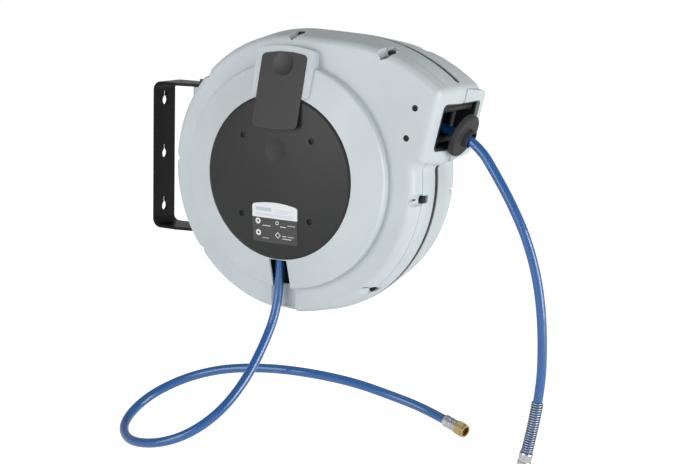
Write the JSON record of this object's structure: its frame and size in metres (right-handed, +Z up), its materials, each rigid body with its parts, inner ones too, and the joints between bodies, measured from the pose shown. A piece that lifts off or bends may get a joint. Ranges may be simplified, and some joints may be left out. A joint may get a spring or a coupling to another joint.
{
  "type": "wall-mounted air hose reel",
  "caption": "Enclosed spring-rewind air hose reel on a swivelling wall bracket, with a free inlet hose and a working hose that ends in a quick disconnect coupler.",
  "frame": {"origin": "middle of the bracket plate, on its wall side", "axes": "+X away from the wall, -Y the front of the reel, +Z up"},
  "size_m": [0.5782, 0.3114, 0.5912],
  "materials": {
    "housing": "satin",
    "cover": "satin",
    "label": "printed satin plate",
    "rubber": "matt",
    "black_plastic": "satin",
    "drum_plastic": "matt",
    "strap": "gloss black powder coat",
    "bolt": "black zinc",
    "dark_screw": "black oxide",
    "steel": "turned",
    "spring_steel": "drawn wire",
    "hose": "gloss, slightly clear",
    "ferrule": "bright crimped",
    "brass": "turned",
    "sleeve": "knurled nickel"
  },
  "bodies": {
    "bracket": {"wall_bracket": "strap", "pivot_bolts": "bolt"},
    "reel": {"front_shell": "housing", "housing_ring": "housing", "rear_shell": "housing", "pivot_lugs": "housing", "front_cover": "cover", "rear_cover": "cover", "cover_strip": "cover", "rating_label": "label", "shell_gasket": "rubber", "hose_stop": "rubber", "coupler_seal": "rubber", "axle_o_rings": "rubber", "outlet_guide": "black_plastic", "pivot_bushes": "drum_plastic", "cover_screws": "dark_screw", "shell_screws": "dark_screw", "outlet_screws": "dark_screw", "axle": "steel", "spring_arbor": "steel", "pawl_post": "steel", "roller_pins": "steel", "coupler_balls": "steel", "hose_tail": "steel", "retaining_ring": "steel", "pawl_spring": "spring_steel", "sleeve_spring": "spring_steel", "valve_spring": "spring_steel", "spring_guard": "spring_steel", "inlet_clip": "spring_steel", "inlet_hose": "hose", "working_hose": "hose", "lead_hose": "hose", "inlet_hose_inner": "hose", "inlet_ferrule": "ferrule", "hose_ferrule": "ferrule", "inlet_tail": "brass", "inlet_banjo": "brass", "coupler_body": "brass"},
    "drum": {"drum_core": "drum_plastic", "drum_outlet_pipe": "steel", "drum_front_flange": "drum_plastic", "drum_rear_flange": "drum_plastic", "spring_cover": "drum_plastic", "axle_bushes": "drum_plastic", "power_spring": "spring_steel", "ratchet_ring": "drum_plastic", "wound_hose": "hose"},
    "upper_guide_roller": {"upper_roller": "black_plastic"},
    "lower_guide_roller": {"lower_roller": "black_plastic"},
    "front_guide_roller": {"front_roller": "black_plastic"},
    "rear_guide_roller": {"rear_roller": "black_plastic"},
    "ratchet_pawl": {"pawl": "drum_plastic"},
    "swivel_nut": {"inlet_nut": "brass"},
    "release_sleeve": {"coupler_sleeve": "sleeve"},
    "check_valve": {"coupler_valve": "steel"}
  },
  "joints": [
    {"name": "reel_swivel", "type": "hinge", "parent": "bracket", "child": "reel", "pos_m": [0.07, 0, 0], "axis": [0, 0, 1], "range_deg": [-60, 60]},
    {"name": "drum_spin", "type": "hinge", "parent": "reel", "child": "drum", "pos_m": [0.242, 0, 0], "axis": [0, 1, 0], "continuous": true},
    {"name": "upper_roller_spin", "type": "hinge", "parent": "reel", "child": "upper_guide_roller", "pos_m": [0.43565, 0.003, 0.09563], "axis": [0, 1, 0], "continuous": true},
    {"name": "lower_roller_spin", "type": "hinge", "parent": "reel", "child": "lower_guide_roller", "pos_m": [0.42667, 0.003, 0.05666], "axis": [0, 1, 0], "continuous": true},
    {"name": "front_roller_spin", "type": "hinge", "parent": "reel", "child": "front_guide_roller", "pos_m": [0.41654, -0.0335, 0.07951], "axis": [0.2246, 0, 0.9744], "continuous": true},
    {"name": "rear_roller_spin", "type": "hinge", "parent": "reel", "child": "rear_guide_roller", "pos_m": [0.41654, 0.0395, 0.07951], "axis": [0.2246, 0, 0.9744], "continuous": true},
    {"name": "pawl_swing", "type": "hinge", "parent": "reel", "child": "ratchet_pawl", "pos_m": [0.307, -0.052, 0.0113], "axis": [0, -1, 0], "range_deg": [0, 9.5], "stiffness_Nm_per_rad": 0.02, "springref_deg": -5.73, "deforming": ["pawl_spring"]},
    {"name": "nut_swivel", "type": "hinge", "parent": "reel", "child": "swivel_nut", "pos_m": [0.47467, -0.0156, -0.30313], "axis": [0.9508, -0.2445, -0.1902], "continuous": true},
    {"name": "sleeve_slide", "type": "slide", "parent": "reel", "child": "release_sleeve", "axis": [0.1935, 0, 0.9811], "range_m": [0, 0.005], "stiffness_N_per_m": 1500, "springref_m": -0.003, "deforming": ["sleeve_spring"]},
    {"name": "valve_slide", "type": "slide", "parent": "reel", "child": "check_valve", "axis": [0.1935, 0, 0.9811], "range_m": [0, 0.004], "stiffness_N_per_m": 800, "springref_m": -0.003, "deforming": ["valve_spring"]}
  ]
}
